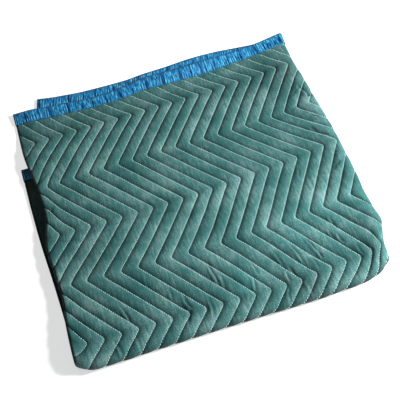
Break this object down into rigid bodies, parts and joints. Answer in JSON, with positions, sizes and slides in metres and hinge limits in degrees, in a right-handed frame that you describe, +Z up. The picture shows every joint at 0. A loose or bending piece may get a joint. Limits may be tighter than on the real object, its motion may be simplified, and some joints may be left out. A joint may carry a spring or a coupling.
{
  "type": "folded quilted moving blanket",
  "caption": "Quilted teal moving blanket with zigzag stitching and blue bound edges, folded in half twice and lying flat.",
  "frame": {"origin": "on the floor under the middle of the folded blanket", "axes": "+Z up from the floor; -Y is the side of the last fold; +Y is the side of the bound edge of the top half; +X is the side of the first fold"},
  "size_m": [1.0475, 1.122, 0.0533],
  "materials": {
    "quilted_cloth": "soft brushed nonwoven cloth, quilted, with a faint sheen",
    "binding_tape": "puckered woven binding tape"
  },
  "bodies": {
    "root": {"blanket": "quilted_cloth", "binding_top": "binding_tape", "binding_low": "binding_tape"}
  },
  "joints": []
}
